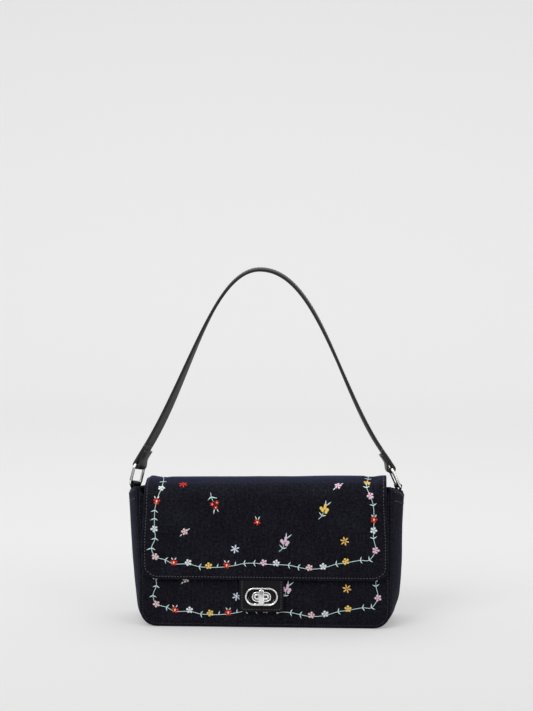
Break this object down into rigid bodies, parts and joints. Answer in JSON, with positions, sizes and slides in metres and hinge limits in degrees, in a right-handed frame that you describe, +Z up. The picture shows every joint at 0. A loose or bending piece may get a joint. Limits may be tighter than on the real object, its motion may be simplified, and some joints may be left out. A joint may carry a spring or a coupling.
{
  "type": "baguette bag",
  "caption": "Small shoulder bag with a rounded denim body, a flap over the front, an oval turn lock and a leather strap on two rings.",
  "frame": {"origin": "middle of the base, on the surface that the bag stands on", "axes": "+X to the bag's right as seen from the front, -Y out of the front, +Z up"},
  "size_m": [0.2736, 0.071, 0.353],
  "materials": {
    "denim": "dark indigo twill, topstitched",
    "lining": "plain woven cotton",
    "leather": "smooth black leather with painted edges",
    "metal": "polished nickel plate",
    "board": "plain stiff board"
  },
  "bodies": {
    "bag": {"front_panel": "denim", "back_panel": "denim", "gusset_left": "denim", "gusset_right": "denim", "base_panel": "denim", "base_board": "board", "lining_front": "lining", "lining_back": "lining", "lining_left": "lining", "lining_right": "lining", "lining_base": "lining", "facing_front": "denim", "facing_back": "denim", "hem_left": "denim", "hem_right": "denim", "flap_back_strip": "denim", "lock_plate": "metal", "lock_back_plate": "metal", "lock_patch": "leather", "tab_left": "leather", "tab_right": "leather", "zip_pocket": "lining", "zip_tape": "lining", "zip_chain": "metal", "zip_stops": "metal"},
    "turn_bar": {"turn_bar": "metal", "lock_spring_washer": "metal", "spindle_clip": "metal"},
    "lid": {"lid_outer": "denim", "lid_lining": "lining"},
    "flap_front": {"flap_outer": "denim", "flap_lining": "lining", "lock_tab": "leather", "eyelet": "metal", "eyelet_washer": "metal"},
    "strap": {"strap_crown": "leather", "strap_leg_left": "leather", "strap_leg_right": "leather", "strap_end_left": "leather", "strap_end_right": "leather"},
    "ring_left": {"ring_left": "metal"},
    "ring_right": {"ring_right": "metal"},
    "zip_slider": {"zip_slider": "metal"},
    "zip_puller": {"zip_puller": "metal"}
  },
  "joints": [
    {"name": "lid_lift", "type": "hinge", "parent": "bag", "child": "lid", "pos_m": [0, 0.02628, 0.13866], "axis": [-1, 0, 0], "range_deg": [0, 165], "deforming": ["strap_leg_left", "strap_leg_right"]},
    {"name": "flap_swing", "type": "hinge", "parent": "lid", "child": "flap_front", "pos_m": [0, -0.02743, 0.1369], "axis": [-1, 0, 0], "range_deg": [0, 95]},
    {"name": "lock_turn", "type": "hinge", "parent": "bag", "child": "turn_bar", "pos_m": [-0.0032, -0.0299, 0.03198], "axis": [0, -0.9994, 0.0343], "range_deg": [0, 90]},
    {"name": "strap_tilt", "type": "hinge", "parent": "bag", "child": "strap", "pos_m": [0, 0, 0.1372], "axis": [1, 0, 0], "range_deg": [-25, 25], "deforming": ["tab_left", "tab_right"]},
    {"name": "ring_left_swing", "type": "hinge", "parent": "strap", "child": "ring_left", "pos_m": [-0.1305, 0, 0.1372], "axis": [0.3758, 0.8988, -0.2258], "range_deg": [-12, 12], "deforming": ["strap_end_left"]},
    {"name": "ring_right_swing", "type": "hinge", "parent": "strap", "child": "ring_right", "pos_m": [0.1305, 0, 0.1372], "axis": [-0.1582, 0.9816, -0.1067], "range_deg": [-12, 12], "deforming": ["strap_end_right"]},
    {"name": "zip_slide", "type": "slide", "parent": "bag", "child": "zip_slider", "axis": [-1, 0, 0], "range_m": [0, 0.112]},
    {"name": "zip_pull_swing", "type": "hinge", "parent": "zip_slider", "child": "zip_puller", "pos_m": [0.056, 0.01951, 0.09574], "axis": [0, -0.0343, 0.9994], "range_deg": [0, 170]}
  ]
}
